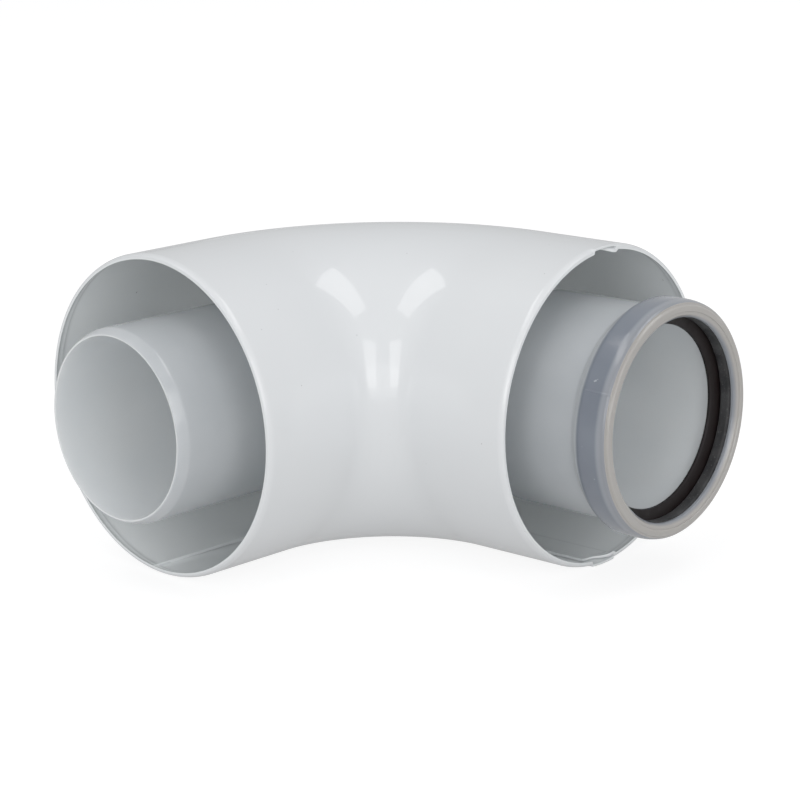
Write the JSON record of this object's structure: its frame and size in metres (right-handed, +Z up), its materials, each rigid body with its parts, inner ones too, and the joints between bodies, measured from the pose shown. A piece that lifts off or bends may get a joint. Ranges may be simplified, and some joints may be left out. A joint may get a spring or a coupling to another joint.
{
  "type": "flue elbow",
  "caption": "Concentric 87 degree flue elbow: white metal air casing around a translucent plastic flue with a sealed socket and a plain spigot.",
  "frame": {"origin": "middle of the part's box, on the surface that the casing lies on", "axes": "+Z up across the bend's plane; the spigot leg runs along Y and opens towards -Y; the socket leg opens towards +X, 3 degrees off it towards +Y"},
  "size_m": [0.1724, 0.165, 0.1],
  "materials": {
    "white_paint": "gloss",
    "natural_polypropylene": "satin, translucent",
    "black_rubber": "matte",
    "grey_polypropylene": "matte"
  },
  "bodies": {
    "root": {"casing_heel_shell": "white_paint", "casing_throat_shell": "white_paint", "flue_elbow": "natural_polypropylene", "socket_lip_seal": "black_rubber", "spacer_spigot_side": "grey_polypropylene", "spacer_socket_side": "grey_polypropylene"}
  },
  "joints": []
}
